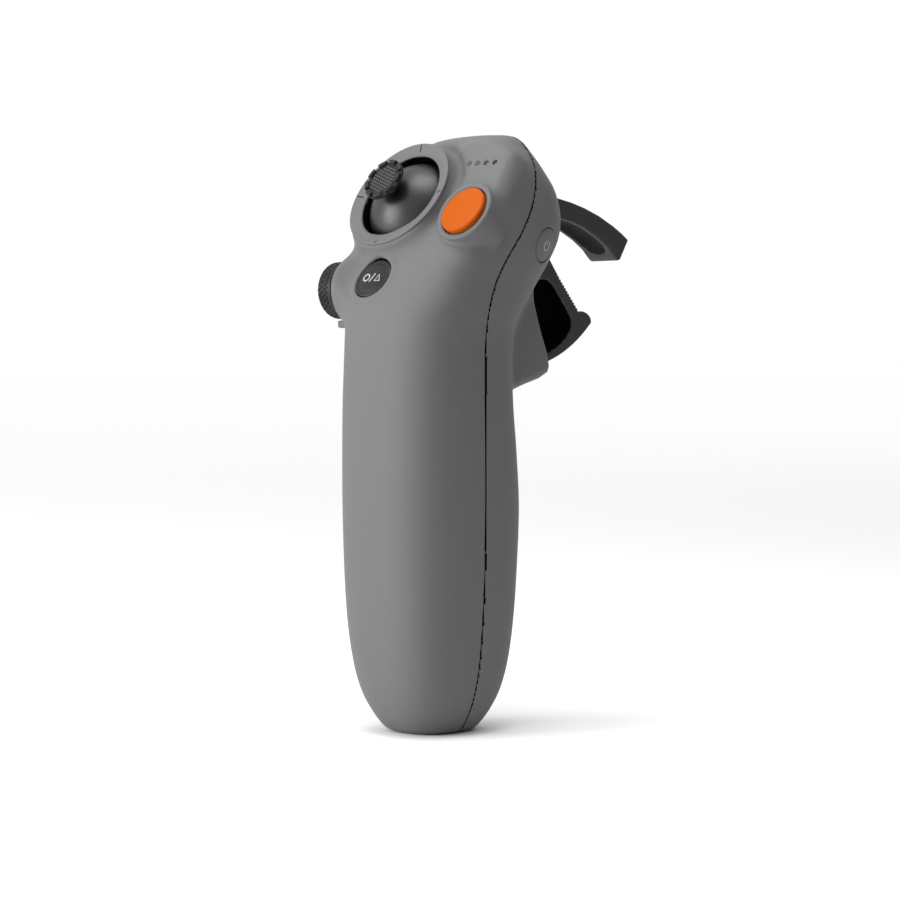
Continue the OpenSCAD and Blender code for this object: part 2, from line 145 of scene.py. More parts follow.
def net(f, lo, hi, h, project=3):
    """surface net of the field f, every vertex drawn on to f = 0"""
    lo = np.asarray(lo, float)
    B = 8
    nb = np.ceil((np.asarray(hi, float) - lo) / (h * B)).astype(int)
    n = nb * B
    bi = np.stack(np.meshgrid(*[np.arange(k) for k in nb], indexing="ij"), -1).reshape(-1, 3)
    centre = lo + (bi * B + (B - 1) / 2) * h
    fc = f(centre)
    V = np.repeat(np.repeat(np.repeat(fc.reshape(nb).astype(np.float32), B, 0), B, 1), B, 2)
    near = bi[np.abs(fc) < B * h * 1.45]
    off = np.stack(np.meshgrid(*[np.arange(B)] * 3, indexing="ij"), -1).reshape(-1, 3)
    for s in range(0, len(near), 600):
        blk = near[s:s + 600]
        idx = (blk[:, None, :] * B + off[None]).reshape(-1, 3)
        V[idx[:, 0], idx[:, 1], idx[:, 2]] = f(lo + idx * h)
    S = V < 0
    c = np.zeros([k - 1 for k in n], np.int8)
    for dx in (0, 1):
        for dy in (0, 1):
            for dz in (0, 1):
                c += S[dx:n[0] - 1 + dx, dy:n[1] - 1 + dy, dz:n[2] - 1 + dz]
    act = (c > 0) & (c < 8)
    I = np.argwhere(act)
    ids = np.full(act.shape, -1, np.int32)
    ids[act] = np.arange(len(I))
    pos = np.zeros((len(I), 3))
    cnt = np.zeros(len(I))
    corners = [(a, b, d) for a in (0, 1) for b in (0, 1) for d in (0, 1)]
    for a in corners:
        for b in corners:
            if sum(b) == sum(a) + 1 and sum(abs(x - y) for x, y in zip(a, b)) == 1:
                va = V[I[:, 0] + a[0], I[:, 1] + a[1], I[:, 2] + a[2]]
                vb = V[I[:, 0] + b[0], I[:, 1] + b[1], I[:, 2] + b[2]]
                m = (va < 0) != (vb < 0)
                t = (va[m] / (va[m] - vb[m]))[:, None]
                pos[m] += np.array(a) + t * (np.array(b) - np.array(a))
                cnt[m] += 1
    P = lo + (I + pos / cnt[:, None]) * h
    quads = []
    for ax in range(3):
        u, v = (ax + 1) % 3, (ax + 2) % 3
        sl0, sl1 = [slice(None)] * 3, [slice(None)] * 3
        sl0[ax], sl1[ax] = slice(0, -1), slice(1, None)
        ch = S[tuple(sl0)] != S[tuple(sl1)]
        E = np.argwhere(ch)
        E = E[(E[:, u] > 0) & (E[:, v] > 0) & (E[:, u] < n[u] - 1) & (E[:, v] < n[v] - 1)]
        eu, ev = np.zeros(3, int), np.zeros(3, int)
        eu[u], ev[v] = 1, 1
        g = lambda e: ids[e[:, 0], e[:, 1], e[:, 2]]
        q = np.stack([g(E - eu - ev), g(E - ev), g(E), g(E - eu)], 1)
        flip = ~S[E[:, 0], E[:, 1], E[:, 2]]
        q[flip] = q[flip][:, ::-1]
        quads.append(q[(q >= 0).all(1)])
    Q = np.concatenate(quads)
    e = 0.02
    for _ in range(project):
        f0 = f(P)
        G = np.stack([(f(P + e * d) - f(P - e * d)) / (2 * e) for d in np.eye(3)], 1)
        G /= np.maximum((G * G).sum(1), 0.05)[:, None]
        mv = f0[:, None] * G
        L = np.linalg.norm(mv, axis=1)
        P = P - mv * np.minimum(1, 0.6 * h / np.maximum(L, 1e-9))[:, None]
    return P, Q


def mesh_object(name, P, Q, material, smooth=True, scale=0.001):
    me = bpy.data.meshes.new(name)
    P = np.asarray(P, float) * scale
    me.from_pydata(P.tolist(), [], [list(map(int, q)) for q in Q])
    me.validate()
    me.update()
    o = bpy.data.objects.new(name, me)
    bpy.context.scene.collection.objects.link(o)
    if smooth:
        me.polygons.foreach_set("use_smooth", [True] * len(me.polygons))
    me.materials.append(material)
    return o


def lathe(profile, seg=128, to=None):
    """closed revolution of (r, z) about local z; to() carries local points to the frame"""
    pr = np.asarray(profile, float)
    n = len(pr)
    P, Q = [], []
    ring = []
    for k, (r, z) in enumerate(pr):
        if r < 1e-6:
            ring.append([len(P)] * seg)
            P.append((0, 0, z))
        else:
            ring.append(list(range(len(P), len(P) + seg)))
            for i in range(seg):
                a = 2 * math.pi * i / seg
                P.append((r * math.cos(a), r * math.sin(a), z))
    for k in range(n - 1):
        for i in range(seg):
            j = (i + 1) % seg
            q = [ring[k][i], ring[k][j], ring[k + 1][j], ring[k + 1][i]]
            q = [v for m, v in enumerate(q) if v != q[m - 1]]
            if len(q) > 2:
                Q.append(q)
    P = np.array(P, float)
    return (to(P) if to else P), Q


def arc(cx, cz, r, a0, a1, n=8):
    return [(cx + r * math.cos(math.radians(a0 + (a1 - a0) * i / n)), cz + r * math.sin(math.radians(a0 + (a1 - a0) * i / n))) for i in range(n + 1)]


def auto_sharp(o, angle=40):
    o.data.set_sharp_from_angle(angle=math.radians(angle))
    return o


# ------------------------------------------------------------------ materials
def material(name, colour, rough=0.5, vary=0.06, grain=0.25, grain_scale=3800.0, wear=0.15, metal=0.0, coat=0.0, coat_rough=0.1,
             spec=0.25, mottle=260.0, rough_vary=0.06, depth=0.00003, emission=0.0):
    m = bpy.data.materials.new(name)
    m.use_nodes = True
    nt = m.node_tree
    nt.nodes.clear()
    N = nt.nodes.new
    out, bs = N("ShaderNodeOutputMaterial"), N("ShaderNodeBsdfPrincipled")
    nt.links.new(bs.outputs[0], out.inputs[0])
    tc = N("ShaderNodeTexCoord")
    fine, broad = N("ShaderNodeTexNoise"), N("ShaderNodeTexNoise")
    fine.inputs["Scale"].default_value = grain_scale
    fine.inputs["Detail"].default_value = 3.0
    broad.inputs["Scale"].default_value = mottle
    broad.inputs["Detail"].default_value = 5.0
    for x in (fine, broad):
        nt.links.new(tc.outputs["Object"], x.inputs["Vector"])
    mixn = N("ShaderNodeMath")
    mixn.operation = "MULTIPLY_ADD"
    nt.links.new(fine.outputs["Fac"], mixn.inputs[0])
    mixn.inputs[1].default_value = 0.5
    sc = N("ShaderNodeMath")
    sc.operation = "MULTIPLY"
    nt.links.new(broad.outputs["Fac"], sc.inputs[0])
    sc.inputs[1].default_value = 0.5
    nt.links.new(sc.outputs[0], mixn.inputs[2])
    ramp = N("ShaderNodeValToRGB")
    ramp.color_ramp.elements[0].position = 0.3
    ramp.color_ramp.elements[1].position = 0.7
    ramp.color_ramp.elements[0].color = [c * (1 - vary) for c in colour] + [1]
    ramp.color_ramp.elements[1].color = [min(1, c * (1 + vary)) for c in colour] + [1]
    nt.links.new(mixn.outputs[0], ramp.inputs[0])
    geo = N("ShaderNodeNewGeometry")
    wr = N("ShaderNodeMapRange")
    wr.inputs["From Min"].default_value = 0.53
    wr.inputs["From Max"].default_value = 0.66
    wr.inputs["To Min"].default_value = 0.0
    wr.inputs["To Max"].default_value = wear
    nt.links.new(geo.outputs["Pointiness"], wr.inputs["Value"])
    wm = N("ShaderNodeMath")
    wm.operation = "MULTIPLY"
    nt.links.new(wr.outputs[0], wm.inputs[0])
    nt.links.new(broad.outputs["Fac"], wm.inputs[1])
    mx = N("ShaderNodeMix")
    mx.data_type = "RGBA"
    nt.links.new(wm.outputs[0], mx.inputs["Factor"])
    nt.links.new(ramp.outputs[0], mx.inputs["A"])
    mx.inputs["B"].default_value = [min(1, c * 1.5 + 0.03) for c in colour] + [1]
    nt.links.new(mx.outputs["Result"], bs.inputs["Base Color"])
    rr = N("ShaderNodeMapRange")
    rr.inputs["From Min"].default_value = 0.3
    rr.inputs["From Max"].default_value = 0.7
    rr.inputs["To Min"].default_value = max(0.02, rough - rough_vary)
    rr.inputs["To Max"].default_value = min(1, rough + rough_vary)
    nt.links.new(mixn.outputs[0], rr.inputs["Value"])
    nt.links.new(rr.outputs[0], bs.inputs["Roughness"])
    bp = N("ShaderNodeBump")
    bp.inputs["Strength"].default_value = grain
    bp.inputs["Distance"].default_value = depth
    nt.links.new(fine.outputs["Fac"], bp.inputs["Height"])
    nt.links.new(bp.outputs[0], bs.inputs["Normal"])
    bs.inputs["Metallic"].default_value = metal
    bs.inputs["Coat Weight"].default_value = coat
    bs.inputs["Coat Roughness"].default_value = coat_rough
    bs.inputs["Specular IOR Level"].default_value = spec
    if emission:
        bs.inputs["Emission Color"].default_value = list(colour) + [1]
        bs.inputs["Emission Strength"].default_value = emission
    return m


GREY = (0.119, 0.119, 0.1215)
M_shell = material("shell_plastic", GREY, rough=0.62, vary=0.035, grain=0.35, wear=0.12)
M_bezel = material("bezel_plastic", (0.119, 0.119, 0.122), rough=0.55, vary=0.03, grain=0.2, wear=0.2)
M_dome = material("dome_satin", (0.006, 0.006, 0.0065), rough=0.4, vary=0.1, grain=0.05, wear=0.0, spec=0.5)
M_cap = material("cap_plastic", (0.012, 0.012, 0.0125), rough=0.5, vary=0.1, grain=0.2, wear=0.25)
M_mode = material("mode_plastic", (0.011, 0.011, 0.0115), rough=0.42, vary=0.08, grain=0.15, wear=0.1)
# painted highlight: the cap's studs get a lighter copy of the cap plastic
M_stud_painted_highlight = material("stud_painted_highlight", (0.12, 0.12, 0.123), rough=0.5, vary=0.12, grain=0.1, wear=0.3)
M_icon = material("icon_print", (0.42, 0.42, 0.43), rough=0.6, vary=0.05, wear=0.0)
M_icon2 = material("icon_print_dim", (0.34, 0.34, 0.35), rough=0.6, vary=0.05, wear=0.0)
M_orange = material("orange_plastic", (0.39, 0.073, 0.002), rough=0.6, vary=0.05, grain=0.3, wear=0.1, spec=0.1)
M_black = material("rocker_plastic", (0.032, 0.032, 0.0325), rough=0.5, vary=0.08, grain=0.3, wear=0.12)
M_dial = material("dial_plastic", (0.009, 0.009, 0.0095), rough=0.45, vary=0.1, grain=0.2, wear=0.3)
# painted shade: near-black for the inside of the shells, the seam walls, the trigger pocket and its web
M_inner_painted_shade = material("inner_black_painted_shade", (0.002, 0.002, 0.002), rough=0.9, vary=0.1, wear=0.0, spec=0.02)
# painted shade: near-black strips for the bottoms of the tick grooves
M_tick_painted_shade = material("tick_groove_painted_shade", (0.01, 0.01, 0.01), rough=0.7, vary=0.1, wear=0.0)
M_steel = material("plain_steel", (0.55, 0.55, 0.57), rough=0.32, vary=0.05, metal=1.0, spec=0.5, grain=0.1, wear=0.05)
M_board = material("board_green", (0.02, 0.12, 0.06), rough=0.4, vary=0.2, mottle=600, coat=0.3)
M_cell = material("cell_sleeve", (0.06, 0.16, 0.4), rough=0.3, vary=0.06, coat=0.4)
M_lens = material("status_lens", (0.06, 0.06, 0.062), rough=0.4, vary=0.05, grain=0.05, wear=0.0, spec=0.4)
# painted shade: a darker copy of the rocker black for the shaded concave underside of the horn
M_horn_under_painted_shade = material("rocker_under_painted_shade", (0.003, 0.003, 0.003), rough=0.7, vary=0.1, wear=0.0, spec=0.12)
M_clear = material("light_pipe", (0.09, 0.09, 0.09), rough=0.35, vary=0.03, spec=0.5)
M_nylon = material("nylon_white", (0.72, 0.72, 0.68), rough=0.5, vary=0.04)

# ------------------------------------------------------------------ housing surface
ROWS = np.array([
    [0, -10.4, 10.4, 9.6, 2.4, 2.4, 0.4], [1.6, -12, 12, 11.1, 2.5, 2.5, 0.4],
    [5, -14.3, 14.3, 13.2, 2.6, 2.6, 0.4], [10, -16.5, 16.4, 15.2, 2.8, 2.8, 0.4],
    [17, -18.2, 18, 16.8, 2.9, 2.9, 0.4], [27, -19.4, 19.1, 17.9, 3, 3, 0.4],
    [40, -20.1, 19.9, 18.7, 3, 3, 0.4], [56, -20.6, 20.6, 19, 3, 3, 0.4],
    [70, -20.6, 19.6, 19, 3, 3, 0.4], [82, -20.4, 18.6, 18.9, 3, 2.9, 0.4],
    [92, -20, 18.6, 18.8, 3, 2.8, 0.4], [100, -19.1, 19.4, 19.2, 3.1, 2.7, 0.4],
    [106, -17.8, 22, 20.3, 3.2, 2.6, 0.5], [112, -14.6, 26.2, 21.2, 3.4, 2.5, 1.7],
    [118, -10.9, 30.3, 22.6, 4, 2.4, 4.2], [124, -7, 33.4, 23.6, 4.4, 2.3, 8],
    [130, -3.1, 34, 23.8, 4.6, 2.15, 11.4], [136, 0.9, 31.4, 23.2, 4.6, 2.05, 13.6],
    [141, 4.2, 27.1, 21.3, 4.4, 2, 15], [145, 7.2, 23.8, 18.6, 3.8, 2, 16.1],
    [148.5, 10.2, 22, 14.4, 3, 2.2, 17.2], [150, 13.6, 21, 9.6, 2.4, 2.1, 17.8],
    [150.6, 18, 18, 0, 2, 2, 18]], float)


def spline_table():
    n = len(ROWS)
    out = []
    for k in range(n - 1):
        a, b, c, d = ROWS[max(k - 1, 0)], ROWS[k], ROWS[k + 1], ROWS[min(k + 2, n - 1)]
        t = np.linspace(0, 1, 240, endpoint=False)[:, None]
        out.append(0.5 * (2 * b + (c - a) * t + (2 * a - 5 * b + 4 * c - d) * t * t + (3 * b - a - 3 * c + d) * t ** 3))
    out.append(ROWS[-1:])
    T = np.concatenate(out)
    keep = np.concatenate([[True], np.diff(np.maximum.accumulate(T[:, 0])) > 0])
    return T[keep]


TAB = spline_table()


def raw_body(p):
    x, y, z = p[:, 0], p[:, 1], p[:, 2]
    q = [np.interp(z, TAB[:, 0], TAB[:, i]) for i in range(1, 6)]
    yc, b, a = (q[0] + q[1]) / 2, np.maximum((q[1] - q[0]) / 2, 0.3), np.maximum(q[2], 0.3)
    dy = y - yc
    rho = np.hypot(x, dy) + 1e-6
    n = np.where(dy < 0, q[3], q[4])
    R = ((np.abs(x) / rho / a) ** n + (np.abs(dy) / rho / b) ** n) ** (-1 / n)
    return rho - R


def body(p):
    e = 0.04
    g = raw_body(p)
    gx = (raw_body(p + [e, 0, 0]) - g) / e
    gy = (raw_body(p + [0, e, 0]) - g) / e
    gz = (raw_body(p + [0, 0, e]) - g) / e
    f = g / np.sqrt(np.clip(gx * gx + gy * gy + gz * gz, 0.25, 400))
    f = smax(f, -p[:, 2], 0.9)
    return smax(f, p[:, 2] - 150.6, 0.5)


NOSE = [(6, 78), (13, 83), (19, 85), (25.4, 87), (30.2, 88.3), (33.3, 89.8), (34.0, 91.6), (33.2, 95), (31.1, 100), (29.6, 104),
        (28.3, 108), (27.6, 112), (25, 116), (12, 124), (0, 124), (0, 78)]
PIV = np.array([25.0, 131.5])
LOCK = (24.4, -5.2, -0.8)
MODE = (1.2, -23.5, -2.9)
LED = [(16.95 + 2.98 * i, 10.4 - 0.06 * i) for i in range(4)]
PWR = np.array([21.8, 18.3, 122.0])
paz, pel = math.radians(18), math.radians(-9)
DN = -11.0
PW = np.array([[-math.sin(paz), math.cos(paz), 0.0],
               [-math.sin(pel) * math.cos(paz), -math.sin(pel) * math.sin(paz), math.cos(pel)],
               [math.cos(paz) * math.cos(pel), math.sin(paz) * math.cos(pel), math.sin(pel)]])


def outer(p, fb=None):
    x, y, z = p[:, 0], p[:, 1], p[:, 2]
    fb = body(p) if fb is None else fb
    f = fb.copy()
    # finger-slot cheeks
    m = (z > 70) & (z < 134) & (y > -8) & (np.abs(x) < 22)
    if m.any():
        d2 = poly_sdf(y[m], z[m], NOSE)
        w = 10.4
        f[m] = smin(f[m], extrude(d2, np.abs(x[m]) - w, 2.4), 4.0)
    # dial pod
    m = (x < -8) & (z > 94) & (z < 128) & (y < 14)
    if m.any():
        rr = np.hypot(y[m] + 7, z[m] - 111)
        f[m] = smin(f[m], round_cyl(rr, x[m], 8.9, -21.6, -6.0, 2.9), 4.5)
    L = to_face(p)
    m = (np.abs(L[:, 0] - 6) < 40) & (L[:, 2] > -24) & (z > 90)
    if m.any():
        l = L[m]
        g = f[m]
        # seat of the mode button: the skin dips to the height of its lip
        r2 = np.hypot(l[:, 0] - MODE[0], l[:, 1] - MODE[1])
        dish = l[:, 2] - (-3.75 + 0.055 * np.maximum(r2 - 6.4, 0) ** 2)
        near = r2 < 15
        g[near] = smax(g[near], dish[near], 1.2)
        # flat facet that carries the lights
        w = step(l[:, 0], 7, 16) * step(l[:, 1], -7, 1) * (1 - step(l[:, 1], 13, 20)) * (1 - step(-l[:, 2], 4, 15))
        fac = smax(fb[m] - 2.5 * w, (l[:, 2] + 2.8) * 1.0, 0.5)
        edge = np.interp(l[:, 1], (-6, 2.3, 9.8, 14.5, 18.2, 24), (34.0, 32.5, 29.5, 26.4, 22.8, 16.5))
        fac = smax(fac, (l[:, 0] - edge) * 0.42 + (l[:, 2] + 2.8) * 0.9, 0.3)
        g = smin(g, fac, 0.5 * np.clip(3 * w, 0.002, 1))
        # shallow valley between the collar and the facet
        rv = np.hypot(l[:, 0], l[:, 1])
        g = g + 0.75 * np.exp(-((rv - 17.2) / 1.5) ** 2) * step(l[:, 0], 1, 7) * step(l[:, 1], 1, 8) * step(l[:, 2], -10, -6)
        # raised collar of the stick
        rho = np.hypot(l[:, 0], l[:, 1])
        col = round_cyl(rho, l[:, 2], 15.6, -9.5, -0.6, 0.25)
        k = 2.6 + 3.4 * step(-l[:, 1] - 0.35 * l[:, 0], 0, 10)
        h = np.maximum(k - np.abs(g - col), 0) / k
        g = np.minimum(g, col) - h * h * k / 4
        # lips round the two buttons
        r1 = np.hypot(l[:, 0] - LOCK[0], l[:, 1] - LOCK[1])
        lean = 0.075 * (0.8 * (l[:, 1] - LOCK[1]) - 0.6 * (l[:, 0] - LOCK[0]))
        g = smin(g, round_cyl(r1, l[:, 2] - np.clip(lean, -0.7, 0.7), 8.1, -10, -1.6, 0.35), 0.9)
        g = smin(g, round_cyl(r2, l[:, 2], 6.85, -10, -3.3, 0.35), 1.2)
        f[m] = g
    # small ledge below the dial
    m = (x < -8) & (z > 94) & (z < 110) & (y < 14)
    if m.any():
        f[m] = smin(f[m], round_box(p[m], (-21.0, -6.6, 102.3), (3.0, 3.4, 0.95), 0.5), 0.8)
    return smax(f, x - 24.56, 0.2)


def shell(p):
    x, y, z = p[:, 0], p[:, 1], p[:, 2]
    fb = body(p)
    f = outer(p, fb)
    f = smax(f, -(fb + 2.1), 0.3)
    L = to_face(p)
    rho = np.hypot(L[:, 0], L[:, 1])
    # solid collars inside the wall
    m = (rho < 20) & (L[:, 2] > -12) & (L[:, 2] < 3)
    f[m] = np.minimum(f[m], round_cyl(rho[m], L[m, 2], 15.2, -8.5, -1.0, 0.2))
    for c, r in ((LOCK, 7.6), (MODE, 6.7)):
        rr = np.hypot(L[:, 0] - c[0], L[:, 1] - c[1])
        f = np.minimum(f, np.maximum(round_cyl(rr, L[:, 2], r, -8.5, -3.6, 0.2), fb + 0.7))
    f = np.minimum(f, np.maximum(round_box(p, (-5.1, -5.1, 3.6), (4.2, 4.2, 3.2), 0.5), fb + 0.6))
    # openings
    f = smax(f, -round_cyl(rho, L[:, 2], 12.3, -14, 30, 0.1), 0.2)
    ds = np.sqrt(rho ** 2 + (L[:, 2] - DN) ** 2) - 14.6
    f = smax(f, -np.maximum(ds, np.maximum(rho - 14.6, L[:, 2] + 1.3)), 0.2)
    for c, r in ((LOCK, 6.72), (MODE, 5.78)):
        rr = np.hypot(L[:, 0] - c[0], L[:, 1] - c[1])
        f = smax(f, -np.maximum(rr - r, np.abs(L[:, 2] - 2) - 9.4), 0.2)
        f = np.maximum(f, -np.maximum(rr - 2.2, np.abs(L[:, 2] + 6) - 6))
    for c in LED:
        rr = np.hypot(L[:, 0] - c[0], L[:, 1] - c[1])
        f = smax(f, -np.maximum(rr - 0.74, np.abs(L[:, 2] + 2) - 12), 0.12)
    rr = np.hypot(y + 7, z - 111)
    f = smax(f, -np.maximum(rr - 7.65, np.abs(x + 25) - 3.4), 0.3)
    f = smax(f, -np.maximum(rr - 2.3, np.abs(x + 18) - 10), 0.2)
    f = np.maximum(f, -round_box(p, (-14.3, -7, 111), (4, 4.3, 4.3), 0.2))
    # rocker slot
    rp = np.hypot(y - PIV[0], z - PIV[1])
    slot = np.maximum.reduce([rp - 41.3, np.abs(x) - 6.9, 19 - y, 80 - z, z - 138])
    f = smax(f, -slot, 0.7)
    # power button, charging port, lanyard slot
    q = (p - PWR) @ PW.T
    rr = np.hypot(q[:, 0], q[:, 1])
    f = smax(f, -np.maximum(rr - 4.5, np.abs(q[:, 2]) - 8), 0.2)
    port = np.hypot(np.maximum(np.abs(x) - 2.9, 0), y - 4.5) - 1.85
    f = smax(f, -np.maximum(port, z - 6), 0.3)
    u, v = (x + y) / math.sqrt(2) + 7.2, (y - x) / math.sqrt(2)
    f = smax(f, -np.maximum.reduce([np.abs(u) - 1.9, np.abs(v) - 1.7, z - 5.2]), 0.4)
    # screw bosses under the roof
    for s in (-1, 1):
        rb = np.hypot(x - s * 4.6, y - 21.3)
        f = np.minimum(f, np.maximum.reduce([rb - 2, z - 144, 140.4 - z, fb + 0.5]))
        f = np.maximum(f, -np.maximum(rb - 0.8, z - 143))
    return f


SEAM_Z = TAB[:, 0]
SEAM_Y = TAB[:, 6]
slope = np.gradient(SEAM_Y, SEAM_Z)


def seam(p):
    s = np.interp(p[:, 2], SEAM_Z, SEAM_Y)
    d = np.interp(p[:, 2], SEAM_Z, slope)
    return (p[:, 1] - s) / np.sqrt(1 + d * d)


H = 0.42


def paint_inner_shade(o, P, Q, deep=0.42):
    """faces that lie below the outer skin, and the walls of the seam gap, are painted near-black as painted shade of
    the inside and the seam
    """
    o.data.materials.append(M_inner_painted_shade)
    Q = np.asarray(Q)
    c = P[Q].mean(1)
    d = outer(c)
    # painted shadow in the seam: the walls of the gap take the same near-black
    wall = (np.abs(seam(c)) < 0.36) & (d < -0.09)
    o.data.polygons.foreach_set("material_index", ((d < -deep) | wall).astype(np.int32))


P, Q = net(lambda p: smax(shell(p), seam(p) + 0.155, 0.14), (-26.5, -24, -1.5), (27.5, 21.5, 152), H)
front = mesh_object("front_shell_skin", P, Q, M_shell)
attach(front, "housing")
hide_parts("front_shell")
paint_inner_shade(front, P, Q)
P, Q = net(lambda p: smax(np.maximum(shell(p), -(np.hypot(p[:, 1] + 7, p[:, 2] - 111) - 9.4 + 30 * (p[:, 0] > -12))), -seam(p) + 0.155, 0.14), (-26.5, -3.5, -1.5), (27.5, 38, 152), H)
rear = mesh_object("rear_shell_skin", P, Q, M_shell)
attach(rear, "housing")
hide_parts("rear_shell")
paint_inner_shade(rear, P, Q)

# ------------------------------------------------------------------ bezel ring with four tick grooves; black strips in them are painted shade


def bezel_f(l):
    rho = np.hypot(l[:, 0], l[:, 1])
    top = 0.45 - 0.3 * (15.6 - rho)
    f = smax(np.maximum(rho - 15.6, 12.2 - rho), np.maximum((l[:, 2] - top) * 0.958, -1.0 - l[:, 2]), 0.35)
    for a in range(4):
        ca, sa = math.cos(a * math.pi / 2), math.sin(a * math.pi / 2)
        u, v = l[:, 0] * ca + l[:, 1] * sa, -l[:, 0] * sa + l[:, 1] * ca
        f = smax(f, -np.maximum.reduce([np.abs(v) - 0.17, np.abs(u - 14.25) - 1.0, top - 0.3 - l[:, 2]]), 0.1)
    return f


P, Q = net(bezel_f, (-16.5, -16.5, -1.6), (16.5, 16.5, 1.1), 0.2)
bez = mesh_object("stick_bezel_ring", from_face(P), Q, M_bezel)
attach(bez, "housing")
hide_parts("stick_bezel")
# black strips at the bottom of each tick groove, painted shade of the groove
tk, tq = [], []
for a in range(4):
    ca, sa = math.cos(a * math.pi / 2), math.sin(a * math.pi / 2)
    base = len(tk)
    prof = [(-0.15, -0.29), (0.15, -0.29), (0.15, -0.14), (-0.15, -0.14)]
    for u in (13.3, 15.2):
        for v, w in prof:
            tk.append((u * ca - v * sa, u * sa + v * ca, w + 0.45 - 0.3 * (15.5 - u)))
    tq += [[base + i, base + (i + 1) % 4, base + 4 + (i + 1) % 4, base + 4 + i] for i in range(4)]
    tq += [[base + 3, base + 2, base + 1, base], [base + 4, base + 5, base + 6, base + 7]]
tick = mesh_object("bezel_tick_painted_shade", from_face(tk), tq, M_tick_painted_shade, smooth=False)
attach(tick, "housing")

# ------------------------------------------------------------------ dome, neck and cap of the stick
R_D = 14.1
prof = [(2.0, R_D - 1.2 + DN)] + [(R_D * math.sin(math.radians(t)), R_D * math.cos(math.radians(t)) + DN) for t in np.linspace(8.3, 80.6, 60)]
prof += [((R_D - 1.2) * math.sin(math.radians(t)), (R_D - 1.2) * math.cos(math.radians(t)) + DN) for t in np.linspace(80.2, 9.2, 40)]
P, Q = lathe(prof[::-1], 160, from_face)
dome = auto_sharp(mesh_object("stick_dome_cover", P, Q, M_dome))
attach(dome, "stick_body")
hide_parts("stick_dome")


def cap_f(l):
    rho = np.hypot(l[:, 0], l[:, 1])
    th = np.arctan2(l[:, 1], l[:, 0])
    dish = 6.32 + 0.006 * rho ** 2
    f = smax(round_cyl(rho, l[:, 2], 5.7, 5.45, 7.1, 0.28), -np.maximum(rho - 4.5, (dish - l[:, 2]) * 0.9), 0.12)
    # crown notches
    seg = 2 * math.pi / 9
    dn = np.abs((th / seg) % 1 - 0.5) * seg * rho
    f = smax(f, -np.maximum.reduce([dn - 0.6, 6.2 - l[:, 2], 4.3 - rho]), 0.15)
    # fine grip lines round the edge
    f = f + 0.04 * np.cos(th * 54) * ((rho > 5.3) & (l[:, 2] < 6.3) & (l[:, 2] > 5.5))
    neck = np.maximum(np.maximum(rho - np.interp(l[:, 2], [2.6, 3.4, 4.4, 5.7], [2.5, 2.1, 2.3, 4.4]), l[:, 2] - 5.9), 2.9 - l[:, 2])
    f = smin(f, neck, 0.6)
    return np.maximum(f, -np.maximum(rho - 1.6, l[:, 2] - 6.02))


P, Q = net(cap_f, (-6.2, -6.2, 2.3), (6.2, 6.2, 7.6), 0.12)
cap = mesh_object("stick_cap_knurled", from_face(P), Q, M_cap)
# three-sided studs in rows across the dished top, coloured lighter than the cap as a painted highlight on the knurl
sp, sq = [], []
pitch = 0.95
for iy in range(-7, 8):
    for ix in range(-8, 9):
        cx, cy = (ix + 0.5 * (iy % 2)) * pitch, iy * pitch * 0.87
        a0 = math.radians(38)
        cx, cy = cx * math.cos(a0) - cy * math.sin(a0), cx * math.sin(a0) + cy * math.cos(a0)
        if math.hypot(cx, cy) > 3.95:
            continue
        zb = 6.28 + 0.006 * (cx * cx + cy * cy)
        base = len(sp)
        for rr, zz in ((0.36, zb), (0.31, zb + 0.2), (0.25, zb + 0.25)):
            for k in range(3):
                a = a0 + math.radians(90 + 120 * k)
                sp.append((cx + rr * math.cos(a), cy + rr * math.sin(a), zz))
        for lv in (0, 3):
            sq += [[base + lv + k, base + lv + (k + 1) % 3, base + lv + 3 + (k + 1) % 3, base + lv + 3 + k] for k in range(3)]
        sq += [[base + 6, base + 7, base + 8], [base + 2, base + 1, base]]
studs = mesh_object("stick_cap_studs", from_face(np.array(sp)), sq, M_stud_painted_highlight, smooth=False)
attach(studs, "stick_body")
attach(cap, "stick_body")
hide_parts("stick_cap")

# ------------------------------------------------------------------ lock, mode and power buttons


def at(c):
    c = np.array(c)
    return lambda P: from_face(P + c)


r = 6.48
prof = [(0, -8.35), (1.5, -8.35), (1.6, -8.25), (1.6, -4.6), (r - 0.2, -4.6), (r, -4.4), (r, -0.75)] + arc(r - 0.55, -0.55, 0.55, 5, 88, 7) + \
    [(r - 0.9, -0.02), (r - 1.5, -0.05), (3.6, -0.14), (1.8, -0.18), (0, -0.19)]
P, Q = lathe(prof, 144, at(LOCK))
lock = auto_sharp(mesh_object("lock_button_cap", P, Q, M_orange), 50)
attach(lock, "lock")
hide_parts("lock_button")
r = 5.6
prof = [(0, -6.35), (1.4, -6.35), (1.5, -6.25), (1.5, -3.2), (r - 0.2, -3.2), (r, -3.0), (r, -0.9)] + arc(r - 0.5, -0.6, 0.5, 5, 80, 7) + \
    [(r - 0.75, -0.09), (r - 1.0, -0.17), (r - 1.25, -0.17), (r - 1.4, -0.08), (2.5, -0.02), (0, 0)]
P, Q = lathe(prof, 144, at(MODE))
mode = auto_sharp(mesh_object("mode_button_cap", P, Q, M_mode), 50)
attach(mode, "mode")
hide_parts("mode_button")


